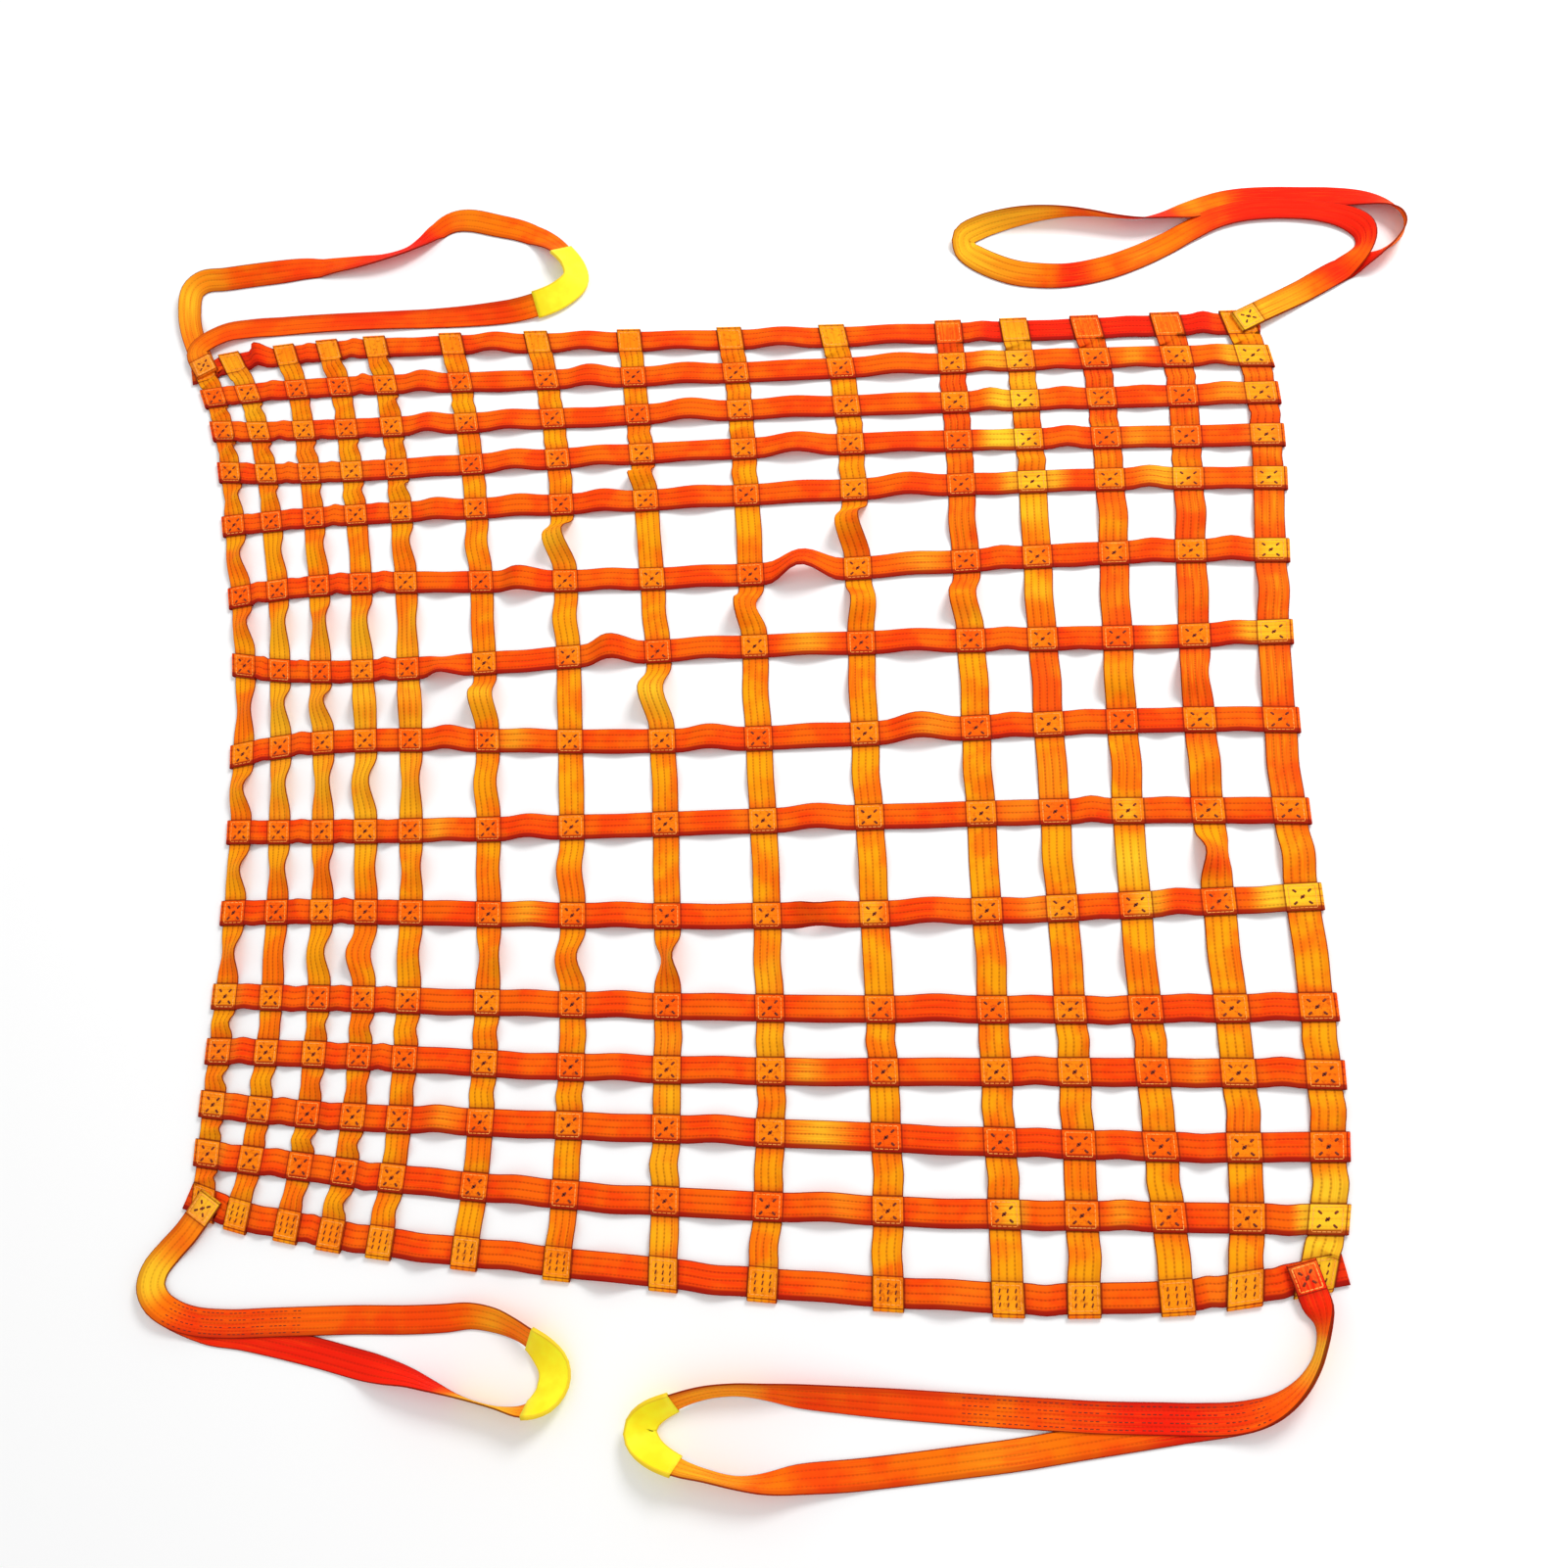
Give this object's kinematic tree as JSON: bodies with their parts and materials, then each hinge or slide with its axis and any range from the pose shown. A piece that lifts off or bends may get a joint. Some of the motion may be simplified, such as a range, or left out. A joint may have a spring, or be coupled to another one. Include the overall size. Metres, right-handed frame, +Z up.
{
  "type": "cargo lifting net",
  "caption": "Square cargo lifting net of flat orange webbing straps sewn into a grid, laid loose, with a long looped sling at each corner and yellow wear sleeves on the sling eyes.",
  "frame": {"origin": "middle of the laid net and slings on the floor", "axes": "+Z up from the floor, +X to the right along the crosswise straps, +Y away from the near edge along the lengthwise straps"},
  "size_m": [2.6622, 2.6198, 0.0607],
  "materials": {
    "webbing_along": "woven polyester webbing, amber orange",
    "webbing_across": "woven polyester webbing, red orange",
    "sling_webbing": "woven polyester webbing, orange",
    "sleeve": "smooth woven sleeve, bright yellow",
    "thread": "heavy sewing thread, pale orange"
  },
  "bodies": {
    "root": {"border_left": "webbing_along", "lengthwise_01": "webbing_along", "lengthwise_02": "webbing_along", "lengthwise_03": "webbing_along", "lengthwise_04": "webbing_along", "lengthwise_05": "webbing_along", "lengthwise_06": "webbing_along", "lengthwise_07": "webbing_along", "lengthwise_08": "webbing_along", "lengthwise_09": "webbing_along", "lengthwise_10": "webbing_along", "lengthwise_11": "webbing_along", "lengthwise_12": "webbing_along", "lengthwise_13": "webbing_along", "border_right": "webbing_along", "border_far": "webbing_across", "crosswise_01": "webbing_across", "crosswise_02": "webbing_across", "crosswise_03": "webbing_across", "crosswise_04": "webbing_across", "crosswise_05": "webbing_across", "crosswise_06": "webbing_across", "crosswise_07": "webbing_across", "crosswise_08": "webbing_across", "crosswise_09": "webbing_across", "crosswise_10": "webbing_across", "crosswise_11": "webbing_across", "crosswise_12": "webbing_across", "crosswise_13": "webbing_across", "border_near": "webbing_across", "sling_far_left": "sling_webbing", "sling_far_right": "sling_webbing", "sling_near_left": "sling_webbing", "sling_near_right": "sling_webbing", "sleeve_far_left": "sleeve", "sleeve_near_left": "sleeve", "sleeve_near_right": "sleeve"}
  },
  "joints": []
}
